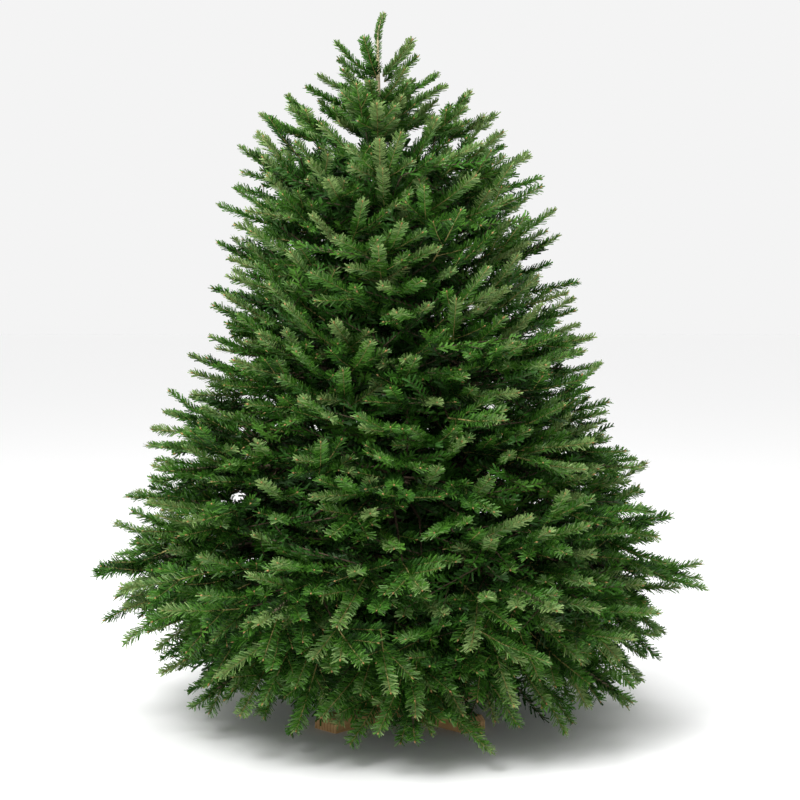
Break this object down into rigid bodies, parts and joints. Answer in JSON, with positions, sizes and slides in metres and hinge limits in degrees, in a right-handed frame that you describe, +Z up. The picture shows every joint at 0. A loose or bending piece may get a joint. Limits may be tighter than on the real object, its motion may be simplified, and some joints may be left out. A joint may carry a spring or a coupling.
{
  "type": "cut christmas tree",
  "caption": "Broad conical cut fir with dense needle foliage, a bare tapering trunk and leader, standing on a plain wooden cross stand.",
  "frame": {"origin": "on the floor, in the middle of the cross stand's underside", "axes": "+Z up along the trunk to the leader's tip; the picture's view looks along +Y, with +X to its right"},
  "size_m": [1.7652, 1.7605, 2.1],
  "materials": {
    "bark": "rough grey-brown fir bark, paler towards the leader",
    "needles": "short flat needles, dark green above and paler on young shoots, slightly waxy",
    "timber": "sawn softwood, unpainted"
  },
  "bodies": {
    "root": {"bough_1_1": "bark", "bough_1_2": "bark", "bough_1_3": "bark", "bough_1_4": "bark", "bough_1_5": "bark", "bough_1_6": "bark", "bough_2_1": "bark", "bough_2_2": "bark", "bough_2_3": "bark", "bough_2_4": "bark", "bough_2_5": "bark", "bough_2_6": "bark", "bough_2_7": "bark", "bough_3_1": "bark", "bough_3_2": "bark", "bough_3_3": "bark", "bough_3_4": "bark", "bough_3_5": "bark", "bough_3_6": "bark", "foliage_1_1": "needles", "foliage_1_2": "needles", "foliage_1_3": "needles", "foliage_1_4": "needles", "foliage_1_5": "needles", "foliage_1_6": "needles", "foliage_2_1": "needles", "foliage_2_2": "needles", "foliage_2_3": "needles", "foliage_2_4": "needles", "foliage_2_5": "needles", "foliage_2_6": "needles", "foliage_2_7": "needles", "foliage_3_1": "needles", "foliage_3_2": "needles", "foliage_3_3": "needles", "foliage_3_4": "needles", "foliage_3_5": "needles", "foliage_3_6": "needles", "foliage_4_1": "needles", "foliage_4_2": "needles", "foliage_4_3": "needles", "foliage_4_4": "needles", "foliage_4_5": "needles", "foliage_5_1": "needles", "foliage_5_2": "needles", "foliage_5_3": "needles", "foliage_5_4": "needles", "foliage_6_1": "needles", "foliage_6_2": "needles", "foliage_6_3": "needles", "foliage_6_4": "needles", "foliage_leader": "needles", "stand_board_lower": "timber", "stand_board_upper": "timber", "stand_brace_1": "timber", "stand_brace_2": "timber", "stand_brace_3": "timber", "stand_brace_4": "timber", "trunk": "bark"}
  },
  "joints": []
}
